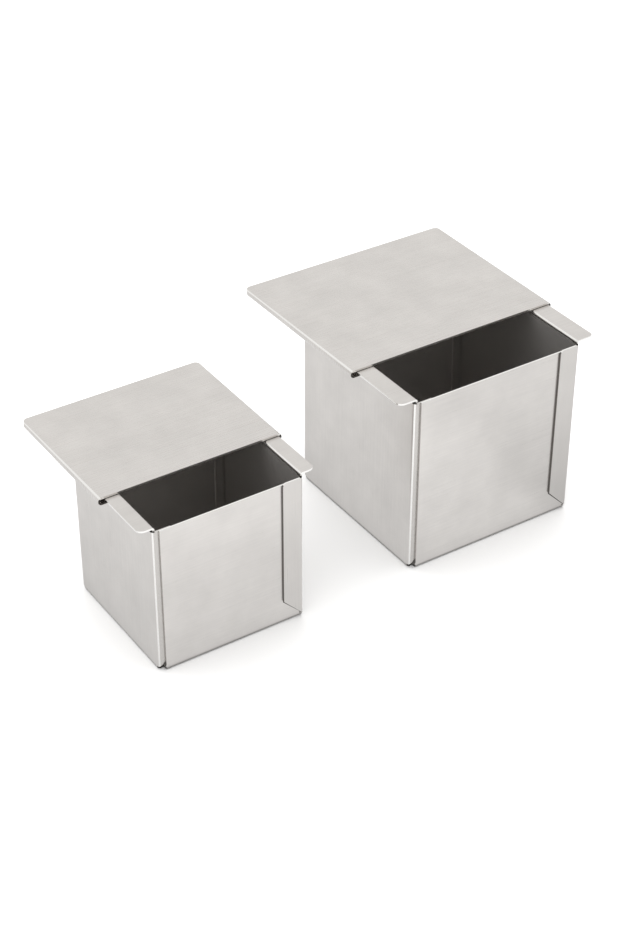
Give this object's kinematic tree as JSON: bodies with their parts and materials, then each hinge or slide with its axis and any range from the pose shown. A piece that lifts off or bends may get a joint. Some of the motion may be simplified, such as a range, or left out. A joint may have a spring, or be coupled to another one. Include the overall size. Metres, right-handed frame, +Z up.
{
  "type": "cube croissant mould",
  "caption": "Cube croissant mould in a large and a small size: a folded steel box with side flanges, closed by a hemmed lid that slides along them.",
  "frame": {"origin": "centre of the large mould's underside", "axes": "+Z up, +Y the way the lids open, +X from the small mould to the large one, along the front walls"},
  "size_m": [0.2136, 0.1088, 0.083],
  "materials": {
    "body_steel": "brushed stainless sheet, grain along X on the blank, so upright on the side walls and level on the front and back walls",
    "lid_steel": "finely brushed stainless sheet, satin"
  },
  "bodies": {
    "large_mould": {"large_mould_body": "body_steel"},
    "large_lid": {"large_sliding_lid": "lid_steel"},
    "small_mould": {"small_mould_body": "body_steel"},
    "small_lid": {"small_sliding_lid": "lid_steel"}
  },
  "joints": [
    {"name": "large_lid_slide", "type": "slide", "parent": "large_mould", "child": "large_lid", "axis": [0, 1, 0], "range_m": [-0.029, 0.054]},
    {"name": "small_mould_lift", "type": "slide", "parent": "large_mould", "child": "small_mould", "axis": [0, 0, 1], "range_m": [0, 0.12]},
    {"name": "small_lid_slide", "type": "slide", "parent": "small_mould", "child": "small_lid", "axis": [0, 1, 0], "range_m": [-0.0255, 0.042]}
  ]
}
